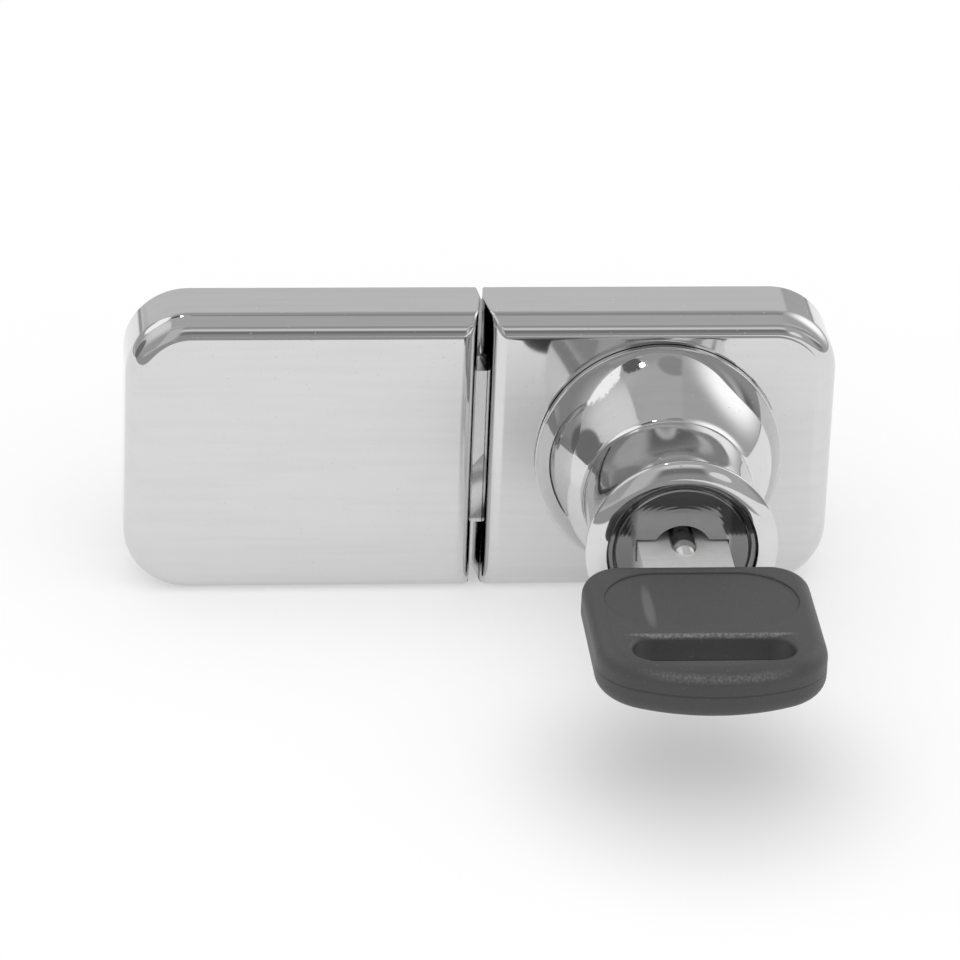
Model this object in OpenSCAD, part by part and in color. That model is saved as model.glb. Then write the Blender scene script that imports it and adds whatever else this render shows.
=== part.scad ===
// Lock for a pair of glass cabinet doors: a lock half and a strike half, each clamped on a glass edge,
// and the key in the plug. X runs along the pair, -Y is the front, Z is up. The origin lies where the
// barrel's axis meets the front of the glass. "Forward" values are distances in front of the glass.

/* [Cases] */
// Width of each half
case_w = 32.9; // [32:0.1:40]
// Height of both halves
case_h = 28; // [27:0.5:36]
// Depth of both cases from the rear rim to the front face
case_d = 7.3; // [6.8:0.1:10]
// Radius of the two outer corners of each half
corner_r = 6; // [5:0.25:8]
// Radius of the rounded front edges
edge_r = 2.1; // [1.2:0.1:2.6]
// Radius of the front edge beside the gap
gap_edge_r = 1.75; // [0.5:0.05:2]
// Draft of the gap faces, from the line where the halves nearly meet to the front
gap_draft = 0.75; // [0:0.05:0.9]
// Wall thickness of the cases
wall = 2; // [1.8:0.1:2.3]
// Smallest gap between the two halves
leaf_gap = 0.15; // [0.1:0.05:1.2]

/* [Escutcheon] */
// Radius of the ball-shaped dome where it meets the case
dome_r = 11.5; // [11.2:0.1:12]
// Height of the upright foot between the case and the ball
foot_h = 1.9; // [0.2:0.1:2.4]
// Length of the barrel in front of the case
barrel_l = 19.8; // [18:0.1:24]
// Radius of the neck behind the flared rim
neck_r = 7.75; // [7.6:0.05:8.4]
// Radius of the hollow between dome and neck
hollow_r = 1.8; // [1.5:0.1:3]
// Largest radius of the flared rim
rim_r = 8.9; // [8.6:0.1:9.6]
// Depth of the seat that the dome lies in
seat_d = 0.4; // [0.2:0.1:0.8]

/* [Cylinder] */
// Outer radius of the cylinder shell
shell_r = 6.8; // [6.7:0.05:7]
// Radius of the plug's head
head_r = 6.15; // [5.9:0.05:6.25]
// Radius of the plug's body
plug_r = 5.2; // [5:0.05:5.3]
// Number of wafers
wafer_n = 5; // [3:1:5]
// Distance from wafer to wafer
wafer_pitch = 2.2; // [2:0.05:2.3]
// Thickness of a wafer
wafer_t = 1; // [0.8:0.05:1.1]
// Travel of a wafer when the key leaves it
wafer_travel = 0.5; // [0.3:0.05:0.6]

/* [Key] */
// Width of the blade
blade_w = 8.2; // [7.6:0.1:8.4]
// Thickness of the blade
blade_t = 1.8; // [1.4:0.1:2]
// Length of blade inside the plug
blade_in = 13.8; // [13.2:0.1:14]
// Length of blade between the plug and the bow
blade_out = 6.7; // [4:0.1:12]
// Width of the bow
bow_w = 20.4; // [18:0.2:26]
// Length of the bow
bow_l = 21.2; // [20.5:0.1:28]
// Thickness of the bow
bow_t = 4.8; // [4.2:0.1:6]
// Rounding of the bow's edges
bow_edge_r = 1.6; // [0.8:0.1:2]
// Radius of the bow's arched end
bow_arch_r = 16.5; // [15:0.5:24]
// Length of the key ring slot
ring_slot_l = 14.2; // [10:0.1:15]
// Height of the key ring slot
ring_slot_h = 4.3; // [4.1:0.1:5]

/* [Bolt] */
// Height of the bolt's nose
bolt_h = 15.6; // [15.2:0.1:16]
// Travel of the bolt
throw = 6; // [5:0.1:6.2]
// Radius of the drive pin
pin_r = 1.2; // [1:0.05:1.3]

/* [Clamps] */
// Thickness of the glass that the pads are set for
glass_t = 6; // [5:0.1:6.4]
// Width of the slot that takes the glass
slot_w = 8; // [7.8:0.1:10]
// Thickness of the rear jaw
jaw_t = 3.2; // [2.6:0.1:4]
// Height of the rear jaw
jaw_h = 15; // [12:0.5:15.5]
// Length of the rear jaw
jaw_l = 25; // [22:0.5:28]
// Thickness of the back plate and the web
plate_t = 1.6; // [1.4:0.1:1.8]
// Thickness of the front pads
pad_t = 0.6; // [0.4:0.1:1]
// Thickness of the pressure pads
press_t = 1.2; // [0.8:0.1:1.3]
// Radius of the grub screws
grub_r = 2; // [1.5:0.1:2.2]
// Length of the grub screws
grub_l = 5; // [4:0.1:8]

/* [Hidden] */
$fn = 64;
eps = 0.02;
// Clearances: running fit of round pieces, seats of still pieces, sliding bolt, tapped holes
run_fit = 0.05;
seat_fit = 0.06;
bolt_fit = 0.25;
side_fit = 0.15;
thread_fit = 0.05;
// Forward places of the case's rim, back plate, front wall, front face and dome seat
f_plate = pad_t + plate_t;
f_floor = pad_t + case_d - wall;
f_face = pad_t + case_d;
f_seat = f_face - seat_d;
// Forward places of the rim, the plug's face and the drive cam's two faces
f_rim = f_face + barrel_l;
face_set = 0.35;
f_key = f_rim - face_set;
cam_in = 0.8;
f_cam = f_seat + cam_in - run_fit;
// Height above the rear rim of the line where the halves nearly meet, and the relief behind it
gap_line = 2.1;
gap_relief = 0.2;
tangent_ease = 0.004;
section_over = 0.5;
// Escutcheon seat, base edge and inner sizes
base_edge = seat_d + foot_h;
rim_round = 0.6;
bore_r = shell_r + seat_fit;
flange_r = neck_r + 0.1;
flange_t = 1.4;
flange_flat = flange_r - 0.6;
esc_screw_z = (flange_r + dome_r) / 2 - 0.35;
esc_screw_in = 2.6;
// Cylinder sizes
head_t = 1.2;
cam_r = 6.3;
cam_gap = 0.3;
boss_w = 4.4;
boss_t = 0.75;
boss_fit = 0.05;
// Turning stop: a lug on the cam that runs in an arched recess of the case
turn_a = 90;
stop_a = 24;
stop_t = 0.65;
stop_r = cam_r + 1.3;
stop_fit = 0.15;
// Chamfer of the plug's head and of the shell's front ring
ring_chamfer = 0.15;
groove_r = plug_r + wafer_travel + 0.15;
wafer_r = plug_r - run_fit;
wafer_half = 2.45;
wafer_fit = 0.08;
f_wafer = f_key - head_t - 1.5;
f_last_wafer = f_wafer - (wafer_n - 1) * wafer_pitch;
// Keyway, its half-round bump and the blade's rib
key_fit = 0.1;
keyway_rise = 0.25;
bump_r = 2.8;
bump_z = -0.25;
rib_r = 1.3;
rib_z = blade_t / 2 - 0.45;
rib_out = 1.1;
f_tip = f_key - blade_in;
f_keyway_end = f_tip - 0.3;
cut_depths = [0.7, 0.35, 0.9, 0.5, 0.75];
// Wafer springs, laid in pockets below the wafers
lug_w = 0.8;
lug_x = 1;
lug_drop = 1.1;
spring_l = 3.3;
spring_r = 0.42;
spring_wire = 0.11;
spring_turns = 4;
spring_play = 0.1;
// Bolt, drive pin and the pin's circle
bolt_t = f_floor - f_plate - 2 * bolt_fit;
f_bolt = f_plate + bolt_fit;
pin_e = throw / sqrt(2);
pin_x = throw / 2;
swing_fit = 0.15;
x_gap_face = -case_w / 2;
bolt_tip = x_gap_face + 0.1 - throw;
bolt_shoulder = x_gap_face + wall + 4.9;
bolt_tail = 3;
tail_half = pin_e + pin_r + 1.35;
guide_l = bolt_shoulder - x_gap_face + throw + 0.3;
guide_half = bolt_h / 2 + side_fit;
// Countersunk screws: shank, head radius and head height
screw_r = 1;
screw_head_r = 1.75;
screw_head_h = 0.95;
plate_screw_l = 4.2;
post_r = 2;
// Screw places in a half's own frame, measured from its gap face
inner_screw = [wall + 2.6, case_h / 2 - wall - 2];
outer_screw = [case_w - wall - 2.7, case_h / 2 - wall - 2.8];
// Clamp bracket
web_x = 0.3;
plate_inset = wall + 0.1;
pad_inset = 1.2;
bend_r = 1.5;
jaw_round = 3;
grub_x = [web_x + jaw_l * 0.29, web_x + jaw_l * 0.73];
grub_socket = 1;
press_w = jaw_l - 5;
press_h = jaw_h - 3;
press_x = web_x + plate_t + 1.2;
// Key bow
bow_corner_r = 3.6;
bow_front_r = 7;
bow_tang = 9;
panel_r = 5.1;
panel_span = 7;
panel_d = 0.2;
panel_g = 7.2;
ring_slot_bar = 2.7;
ring_slot_g = bow_l - ring_slot_h / 2 - ring_slot_bar;

// Frames: forward() draws towards the front, the two halves start at their gap faces
module forward(f) { translate([0, -f, 0]) rotate([90, 0, 0]) children(); }
module lock_half() { translate([x_gap_face, 0, 0]) children(); }
module strike_half() { translate([x_gap_face - leaf_gap, 0, 0]) mirror([1, 0, 0]) children(); }

// A block from corner to corner: x, forward and z ranges
module block(x, f, z) {
    translate([x[0], -f[1], z[0]]) cube([x[1] - x[0], f[1] - f[0], z[1] - z[0]]);
}

// Countersunk screw whose head lies flush at forward 0 and whose shank runs forward
module csk_screw(l, fit = 0) {
    cylinder(r = screw_r + fit, h = l);
    cylinder(r1 = screw_head_r + fit, r2 = screw_r + fit, h = screw_head_h);
}

// Outline of a half seen from the front, drawn in by the given inset
module half_outline(inset) {
    core = corner_r - inset;
    translate([inset, inset - case_h / 2]) square([case_w - corner_r - inset, case_h - 2 * inset]);
    translate([case_w - corner_r - eps, corner_r - case_h / 2]) square([core + eps, case_h - 2 * corner_r]);
    for (s = [-1, 1]) translate([case_w - corner_r, s * (case_h / 2 - corner_r)]) circle(core);
}

// Section of a wall of the given width whose front outer edge is rounded
module edge_section(w, r) {
    difference() {
        square([w, case_d]);
        difference() {
            translate([w - r, case_d - r]) square(r + eps);
            translate([w - r, case_d - r]) circle(r);
        }
    }
}

// Plan of a half's long block: drafted gap face with a rounded front edge; it reaches past the block's
// front, rear and far end, so that the block alone gives those faces
module gap_section(length) {
    r = gap_edge_r;
    tilt = atan(gap_draft / (case_d - gap_line));
    past = length + section_over;
    front = case_d + section_over;
    front_x = gap_draft + section_over * tan(tilt);
    rear_x = gap_relief * (1 + section_over / gap_line);
    centre = [(r + (case_d - r - gap_line) * sin(tilt)) / cos(tilt), case_d - r];
    to_wall = r * [-cos(tilt), sin(tilt)];
    to_front = [0, r];
    to_corner = [gap_draft, case_d] - centre;
    beyond = 1.1 + section_over;
    difference() {
        polygon([[rear_x, -section_over], [0, gap_line], [front_x, front], [past, front], [past, -section_over]]);
        translate(centre) difference() {
            polygon([[0, 0], beyond * to_front, beyond * to_corner, beyond * to_wall]);
            circle(r + tangent_ease);
        }
    }
}

// Outer form of a half: a long block with rounded front edges, and the two round outer corners
module case_form() {
    straight = case_w - corner_r;
    tall = case_h - 2 * corner_r;
    intersection() {
        rotate([90, 0, 90]) linear_extrude(straight) {
            edge_section(case_h / 2, edge_r);
            mirror([1, 0]) edge_section(case_h / 2, edge_r);
        }
        translate([0, case_h / 2 + section_over, 0]) rotate([90, 0, 0])
            linear_extrude(case_h + 2 * section_over) gap_section(straight);
    }
    translate([straight, tall / 2, 0]) rotate([90, 0, 0]) linear_extrude(tall) edge_section(corner_r, edge_r);
    for (s = [0, 1]) mirror([0, s, 0])
        translate([straight, tall / 2, 0]) rotate_extrude(angle = 90) edge_section(corner_r, edge_r);
}

// Hollow case with bolt guides, screw posts and the mouth in its gap face
module case_shell() {
    difference() {
        forward(pad_t) difference() {
            case_form();
            translate([0, 0, -eps]) linear_extrude(case_d - wall + eps) half_outline(wall);
        }
        block([-eps, wall + eps], [f_plate - eps, f_floor], [-guide_half, guide_half]);
        block([-eps, wall + eps], [pad_t - eps, f_plate], [-jaw_h / 2 - 0.1, jaw_h / 2 + 0.1]);
    }
    difference() {
        union() {
            for (s = [0, 1]) mirror([0, 0, s])
                block([wall - eps, guide_l], [f_plate, f_floor + eps], [guide_half, case_h / 2 - wall + eps]);
            for (s = [-1, 1]) translate([outer_screw[0], 0, s * outer_screw[1]])
                forward(f_plate) cylinder(r = post_r, h = f_floor - f_plate + eps);
        }
        plate_screw_places() csk_screw(plate_screw_l, thread_fit);
    }
}

// The four places of a half's bracket screws
module plate_screw_places() {
    for (p = [inner_screw, outer_screw], s = [-1, 1])
        translate([p[0], 0, s * p[1]]) forward(pad_t) children();
}

module escutcheon_screw_places() {
    for (s = [-1, 1]) translate([0, 0, s * esc_screw_z]) forward(f_floor) children();
}

module lock_case() {
    color("gainsboro") difference() {
        lock_half() case_shell();
        forward(f_seat) cylinder(r = dome_r + seat_fit, h = seat_d + 1);
        forward(f_floor - eps) cylinder(r = cam_r + cam_gap, h = wall + 1);
        stop_sector(stop_r + cam_gap, stop_t + stop_fit, turn_a + stop_a + 2 * atan(stop_fit / stop_r));
        escutcheon_screw_places() translate([0, 0, -eps]) csk_screw(wall + 1, thread_fit);
    }
}

// Sector of a ring round the barrel's axis, centred on the +X side, in front of the case's floor
module stop_sector(r, t, angle) {
    forward(f_floor - eps) rotate(-angle / 2) rotate_extrude(angle = angle)
        translate([cam_r - 1, 0]) square([r - cam_r + 1, t + eps]);
}

module strike_case() { color("gainsboro") strike_half() case_shell(); }

// Outer form of the escutcheon in bands: edge, ball, hollow, flared barrel and rounded rim, on one core
module escutcheon_form() {
    reach = dome_r + hollow_r;
    neck_c = neck_r + hollow_r;
    tilt = acos(neck_c / reach);
    ball_h = base_edge + dome_r * sin(tilt);
    neck_h = base_edge + reach * sin(tilt);
    rim_h = f_rim - f_seat - rim_round;
    run = rim_h - neck_h;
    rise = rim_r - neck_r;
    flare_r = (run * run + rise * rise) / (2 * rise);
    cylinder(r = dome_r, h = base_edge);
    cylinder(r = (bore_r + neck_r) / 2, h = rim_h + rim_round / 2);
    rotate_extrude() intersection() {
        translate([0, base_edge]) circle(dome_r);
        translate([0, base_edge]) square([dome_r + 1, ball_h - base_edge]);
    }
    rotate_extrude() difference() {
        translate([0, ball_h]) square([neck_c, neck_h - ball_h]);
        translate([neck_c, neck_h]) circle(hollow_r);
    }
    rotate_extrude() difference() {
        translate([0, neck_h]) square([neck_r + flare_r, run]);
        translate([neck_r + flare_r, neck_h]) circle(flare_r, $fn = 360);
    }
    rotate_extrude() translate([0, rim_h]) difference() {
        square([rim_r, rim_round]);
        translate([rim_r - rim_round, 0]) difference() {
            square(rim_round + eps);
            circle(rim_round);
        }
    }
}

module escutcheon() {
    color("silver") forward(f_seat) difference() {
        escutcheon_form();
        translate([0, 0, -1]) cylinder(r = bore_r, h = f_rim);
        flange_form(seat_fit);
        for (s = [-1, 1]) translate([0, s * esc_screw_z, -eps])
            cylinder(r = screw_r + thread_fit, h = esc_screw_in + 0.2);
    }
}

module escutcheon_screws() {
    color("dimgray") escutcheon_screw_places() csk_screw(f_seat - f_floor + esc_screw_in);
}

// Flange of the shell, with a flat that keeps the shell from turning
module flange_form(fit) {
    difference() {
        translate([0, 0, -eps]) cylinder(r = flange_r + fit, h = flange_t + fit + eps);
        translate([-flange_r - 1, -flange_r - 1 - flange_flat - fit, -1])
            cube([2 * flange_r + 2, flange_r + 1, flange_t + 2]);
    }
}

module cylinder_shell() {
    f_first = f_last_wafer - wafer_t;
    groove_l = f_wafer + wafer_t - f_first;
    groove_half = wafer_half + 0.2;
    color("darkkhaki") difference() {
        forward(f_seat) union() {
            intersection() {
                flange_form(0);
                cylinder(r = flange_r + 1, h = flange_t);
            }
            cylinder(r = shell_r, h = f_key - f_seat - ring_chamfer);
            translate([0, 0, f_key - f_seat - ring_chamfer])
                cylinder(r1 = shell_r, r2 = shell_r - ring_chamfer, h = ring_chamfer);
        }
        forward(f_seat - 1) cylinder(r = plug_r + run_fit, h = f_rim);
        forward(f_seat - 1) cylinder(r = cam_r + cam_gap / 2, h = cam_in + 1);
        forward(f_key - head_t - run_fit) cylinder(r = head_r + run_fit, h = head_t + 1);
        forward(f_key - ring_chamfer)
            cylinder(r1 = head_r + run_fit, r2 = head_r + run_fit + 2 * ring_chamfer, h = 2 * ring_chamfer);
        forward(f_first) for (a = [0, 90]) rotate(a) intersection() {
            cylinder(r = groove_r, h = groove_l);
            translate([-groove_r, -groove_half, 0]) cube([2 * groove_r, 2 * groove_half, groove_l]);
        }
    }
}

// Section of the keyway, a flat slot with an arched bump over its middle
module keyway_section() {
    translate([-blade_w / 2 - key_fit, -blade_t / 2 - key_fit])
        square([blade_w + 2 * key_fit, blade_t + key_fit + keyway_rise]);
    intersection() {
        translate([0, bump_z]) circle(bump_r);
        translate([-bump_r, 0]) square([2 * bump_r, bump_r]);
    }
}

// Forward place and side of each wafer: even ones spring to the right, odd ones to the left
function wafer_f(i) = f_wafer - i * wafer_pitch;
module wafer_places(side) {
    for (i = [0 : wafer_n - 1]) if ((side > 0) == (i % 2 == 0))
        forward(wafer_f(i) - wafer_t / 2) mirror([side > 0 ? 0 : 1, 0, 0]) children();
}

module wafer() {
    slide = wafer_travel + 0.1;
    difference() {
        union() {
            intersection() {
                cylinder(r = wafer_r, h = wafer_t);
                translate([-wafer_r, -wafer_half, 0]) cube([2 * wafer_r, 2 * wafer_half, wafer_t]);
            }
            translate([lug_x, -wafer_half - lug_drop, 0]) cube([lug_w, lug_drop + eps, wafer_t]);
        }
        translate([-blade_w / 2 - slide, -blade_t / 2 - key_fit, -1])
            cube([blade_w + 2 * slide, blade_t + 2 * key_fit, wafer_t + 2]);
        translate([-rib_r - slide, -key_fit, -1])
            cube([2 * (rib_r + slide), rib_z + rib_r + 2 * key_fit, wafer_t + 2]);
    }
}

module wafers_right() { color("tan") wafer_places(1) wafer(); }
module wafers_left() { color("tan") wafer_places(-1) wafer(); }

// Room for one wafer in the plug: its slot and the pocket for its spring and lug
module wafer_room() {
    t = wafer_t + 2 * wafer_fit;
    pocket = spring_l + lug_w + wafer_travel + 2 * wafer_fit;
    translate([-plug_r - 1, -wafer_half - wafer_fit, -wafer_fit])
        cube([2 * plug_r + 2, 2 * (wafer_half + wafer_fit), t]);
    translate([lug_x - spring_l - wafer_fit, -wafer_half - lug_drop - wafer_fit, -wafer_fit])
        cube([pocket, lug_drop + wafer_fit + eps, t]);
}

// One unbroken coil along x, as a tube of four sides
module spring_coil() {
    steps = spring_turns * 8;
    run = spring_l - 2 * spring_wire - spring_play;
    last = 4 * steps;
    points = [for (i = [0 : steps], k = [0 : 3]) let (a = i * 45, b = k * 90 + 45)
        [run * i / steps, spring_r * cos(a), spring_r * sin(a)]
            + spring_wire * [cos(b), sin(b) * cos(a), sin(b) * sin(a)]];
    sides = [for (i = [0 : steps - 1], k = [0 : 3]) let (p = 4 * i + k, q = 4 * i + (k + 1) % 4)
        each [[p, q, q + 4], [p, q + 4, p + 4]]];
    ends = [[2, 1, 0], [3, 2, 0], [last, last + 1, last + 2], [last, last + 2, last + 3]];
    polyhedron(points, concat(sides, ends));
}

module wafer_spring() {
    drop = wafer_half + lug_drop / 2;
    translate([lug_x - spring_l + spring_wire + spring_play / 2, -drop, wafer_t / 2]) spring_coil();
}

module wafer_springs_right() { color("lightsteelblue") wafer_places(1) wafer_spring(); }
module wafer_springs_left() { color("lightsteelblue") wafer_places(-1) wafer_spring(); }

module plug() {
    color("whitesmoke") difference() {
        union() {
            forward(f_cam) cylinder(r = plug_r, h = f_key - f_cam);
            forward(f_key - head_t) cylinder(r = head_r, h = head_t - ring_chamfer);
            forward(f_key - ring_chamfer) cylinder(r1 = head_r, r2 = head_r - ring_chamfer, h = ring_chamfer);
            forward(f_cam - boss_t) translate([-boss_w / 2, -boss_w / 2, 0])
                cube([boss_w, boss_w, boss_t + eps]);
        }
        forward(f_keyway_end) linear_extrude(f_rim) keyway_section();
        wafer_places(1) wafer_room();
        wafer_places(-1) wafer_room();
        forward(f_floor) cylinder(r = screw_r + thread_fit, h = f_keyway_end - f_floor - 0.6);
    }
}

module drive_cam() {
    socket = boss_w + 2 * boss_fit;
    color("goldenrod") {
        difference() {
            union() {
                forward(f_floor) cylinder(r = cam_r, h = f_cam - f_floor);
                rotate([0, -turn_a / 2, 0]) translate([0, -eps, 0]) stop_sector(stop_r, stop_t, stop_a);
            }
            forward(f_cam - boss_t - boss_fit) translate([-socket / 2, -socket / 2, 0])
                cube([socket, socket, 2]);
            forward(f_floor) translate([0, 0, -eps]) csk_screw(wall + 2, thread_fit);
        }
        translate([-pin_x, 0, pin_x]) forward(f_bolt) cylinder(r = pin_r, h = f_floor - f_bolt + eps);
    }
}

module cam_screw() { color("dimgray") forward(f_floor) csk_screw(f_keyway_end - f_floor - 1); }

// T-shaped bolt: a tall nose, a lower tail and an upright slot for the drive pin
module bolt() {
    f = [f_bolt, f_bolt + bolt_t];
    slot_half = pin_r + swing_fit + 0.05;
    slot_z = [pin_x - slot_half, pin_e + slot_half];
    bevel = 0.5;
    color("lightgray") difference() {
        union() {
            block([bolt_tip, bolt_shoulder], f, [-bolt_h / 2, bolt_h / 2]);
            block([bolt_shoulder - eps, bolt_tail], f, [-tail_half, tail_half]);
        }
        block([-pin_x - slot_half, -pin_x + slot_half], [f[0] - 1, f[1] + 1], slot_z);
        for (s = [-1, 1]) translate([bolt_tip, 0, s * bolt_h / 2]) rotate([0, 45, 0])
            translate([-bevel, -f[1] - 1, -bevel]) cube([2 * bevel, bolt_t + 2, 2 * bevel]);
    }
}

// Bent strip of the bracket, seen from above: web and rear jaw with a rounded bend
module bend_section() {
    outer = bend_r + plate_t;
    difference() {
        square([jaw_l, jaw_t + outer]);
        translate([plate_t, -eps]) square([jaw_l, outer + eps]);
        translate([-eps, jaw_t + outer - bend_r]) difference() {
            square([bend_r + eps, bend_r + eps]);
            translate([bend_r + eps, 0]) circle(bend_r);
        }
    }
}

// Clamp bracket: back plate in the case, web round the glass edge and rear jaw
module bracket() {
    bend_y = slot_w - bend_r - plate_t;
    difference() {
        union() {
            forward(pad_t) linear_extrude(plate_t) half_outline(plate_inset);
            block([web_x, plate_inset + eps], [pad_t, f_plate], [-jaw_h / 2, jaw_h / 2]);
            block([web_x, web_x + plate_t], [-bend_y - eps, f_plate - eps], [-jaw_h / 2, jaw_h / 2]);
            intersection() {
                translate([web_x, bend_y, -jaw_h / 2]) linear_extrude(jaw_h) bend_section();
                translate([web_x, bend_y - 1, 0]) rotate([-90, 0, 0])
                    linear_extrude(slot_w + jaw_t) jaw_outline();
            }
        }
        plate_screw_places() translate([0, 0, -eps]) csk_screw(plate_t + 1, thread_fit);
        for (x = grub_x) translate([x, slot_w - 1, 0]) rotate([-90, 0, 0])
            cylinder(r = grub_r + thread_fit, h = jaw_t + 2);
    }
}

// Outline of the rear jaw with its two round corners
module jaw_outline() {
    translate([-1, -jaw_h / 2]) square([jaw_l - jaw_round + 1, jaw_h]);
    translate([-1, jaw_round - jaw_h / 2]) square([jaw_l + 1, jaw_h - 2 * jaw_round]);
    for (s = [-1, 1]) translate([jaw_l - jaw_round, s * (jaw_h / 2 - jaw_round)]) circle(jaw_round);
}

module lock_bracket() { color("slategray") lock_half() bracket(); }
module strike_bracket() { color("slategray") strike_half() bracket(); }

module bracket_screws() { plate_screw_places() csk_screw(plate_screw_l - 0.2); }
module lock_bracket_screws() { color("dimgray") lock_half() bracket_screws(); }
module strike_bracket_screws() { color("dimgray") strike_half() bracket_screws(); }

// Rubber pad on the back of the case, from the web to the outer end
module front_pad() {
    start = web_x + plate_t + 0.1;
    forward(0) linear_extrude(pad_t) intersection() {
        half_outline(pad_inset);
        translate([start, -case_h / 2]) square([case_w, case_h]);
    }
}
module lock_front_pad() { color("dimgray") lock_half() front_pad(); }
module strike_front_pad() { color("dimgray") strike_half() front_pad(); }

module pressure_pad() {
    r = 2;
    translate([press_x, glass_t, 0]) rotate([-90, 0, 0]) linear_extrude(press_t) {
        translate([r, -press_h / 2]) square([press_w - 2 * r, press_h]);
        translate([0, r - press_h / 2]) square([press_w, press_h - 2 * r]);
        for (x = [r, press_w - r], s = [-1, 1]) translate([x, s * (press_h / 2 - r)]) circle(r);
    }
}
module lock_pressure_pad() { color("black") lock_half() pressure_pad(); }
module strike_pressure_pad() { color("black") strike_half() pressure_pad(); }

module grub_screws() {
    for (x = grub_x) translate([x, glass_t + press_t, 0]) rotate([-90, 0, 0]) difference() {
        cylinder(r = grub_r, h = grub_l);
        translate([0, 0, grub_l - 2]) cylinder(r = grub_socket, h = 3, $fn = 6);
    }
}
module lock_grub_screws() { color("gray") lock_half() grub_screws(); }
module strike_grub_screws() { color("gray") strike_half() grub_screws(); }

// Blade with its stamped rib, cuts on both edges, a pointed tip and a tang inside the bow
module key_blade() {
    tang_f = f_key + blade_out + bow_tang;
    color("lightsteelblue") difference() {
        union() {
            forward(f_tip) translate([-blade_w / 2, -blade_t / 2, 0])
                cube([blade_w, blade_t, tang_f - f_tip]);
            forward(f_tip) translate([0, rib_z, 0]) cylinder(r = rib_r, h = f_key + rib_out - f_tip);
            translate([0, -f_key - rib_out, rib_z]) sphere(rib_r);
        }
        for (s = [0, 1], i = [0 : wafer_n - 1]) mirror([s, 0, 0])
            translate([blade_w / 2 - cut_depths[i], -wafer_f(i), -5]) linear_extrude(10)
                polygon([[0, -0.35], [2, -1.7], [2, 1.7], [0, 0.35]]);
        for (s = [0, 1]) mirror([s, 0, 0]) translate([blade_w / 2 - 2.4, -f_tip, -5])
            rotate(-35) translate([-4, 0, 0]) cube([12, 6, 10]);
        forward(f_tip - 1) translate([-blade_w, -blade_t / 2 - 5, 0]) cube([2 * blade_w, 5, bow_l * 3]);
    }
}

// Edge section of the bow: a bar of the given width whose outer edges are rounded
module bow_section(w) {
    half = bow_t / 2;
    c = half - bow_edge_r;
    translate([0, -half]) square([w - bow_edge_r, bow_t]);
    translate([0, -c]) square([w, 2 * c]);
    for (s = [-1, 1]) translate([w - bow_edge_r, s * c]) circle(bow_edge_r);
}

// Bow in its own plan: x across, y forward from its rear end, z through its thickness
module bow_plate() {
    rear = bow_w / 2 - bow_corner_r;
    front = bow_w / 2 - bow_front_r;
    long = bow_l - bow_front_r - bow_corner_r;
    translate([-rear, bow_corner_r, -bow_t / 2]) cube([2 * rear, long, bow_t]);
    translate([-front, bow_l - bow_front_r, 0]) rotate([90, 0, 90])
        linear_extrude(2 * front) bow_section(bow_front_r);
    translate([-rear, bow_corner_r, 0]) rotate([90, 0, 90])
        linear_extrude(2 * rear) mirror([1, 0]) bow_section(bow_corner_r);
    for (s = [0, 1]) mirror([s, 0, 0]) {
        translate([rear, bow_l - bow_front_r, 0]) rotate([90, 0, 0])
            linear_extrude(long) bow_section(bow_corner_r);
        translate([rear, bow_corner_r, 0]) rotate(-90) rotate_extrude(angle = 90) bow_section(bow_corner_r);
        translate([front, bow_l - bow_front_r, 0]) rotate_extrude(angle = 90) bow_section(bow_front_r);
    }
}

module bow_form() {
    intersection() {
        bow_plate();
        translate([0, bow_l - bow_arch_r, 0]) rotate_extrude() bow_section(bow_arch_r);
    }
}

module stadium(length, height) {
    r = height / 2;
    square([length - height, height], center = true);
    for (s = [-1, 1]) translate([s * (length / 2 - r), 0]) circle(r);
}

module key_bow() {
    fit = 0.03;
    color("darkslategray") translate([0, -f_key - blade_out, 0]) mirror([0, 1, 0]) difference() {
        bow_form();
        translate([-blade_w / 2 - fit, -1, -blade_t / 2 - fit])
            cube([blade_w + 2 * fit, bow_tang + 1 + fit, blade_t + 2 * fit]);
        translate([0, ring_slot_g, -bow_t]) linear_extrude(2 * bow_t) stadium(ring_slot_l, ring_slot_h);
        for (s = [0, 1]) mirror([0, 0, s]) translate([0, panel_g, bow_t / 2 - panel_d])
            linear_extrude(2 * panel_d) stadium(panel_span + 2 * panel_r, 2 * panel_r);
    }
}

lock_case();
escutcheon();
escutcheon_screws();
cylinder_shell();
plug();
wafers_right();
wafers_left();
wafer_springs_right();
wafer_springs_left();
drive_cam();
cam_screw();
bolt();
lock_bracket();
lock_bracket_screws();
lock_front_pad();
lock_pressure_pad();
lock_grub_screws();
strike_case();
strike_bracket();
strike_bracket_screws();
strike_front_pad();
strike_pressure_pad();
strike_grub_screws();
key_blade();
key_bow();
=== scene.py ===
"""Lock for a pair of glass cabinet doors: chrome cases, ball escutcheon, key and clamp brackets."""
import math

import bmesh
import bpy
from bpy.props import FloatProperty, FloatVectorProperty, PointerProperty
from mathutils import Matrix, Vector


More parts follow.
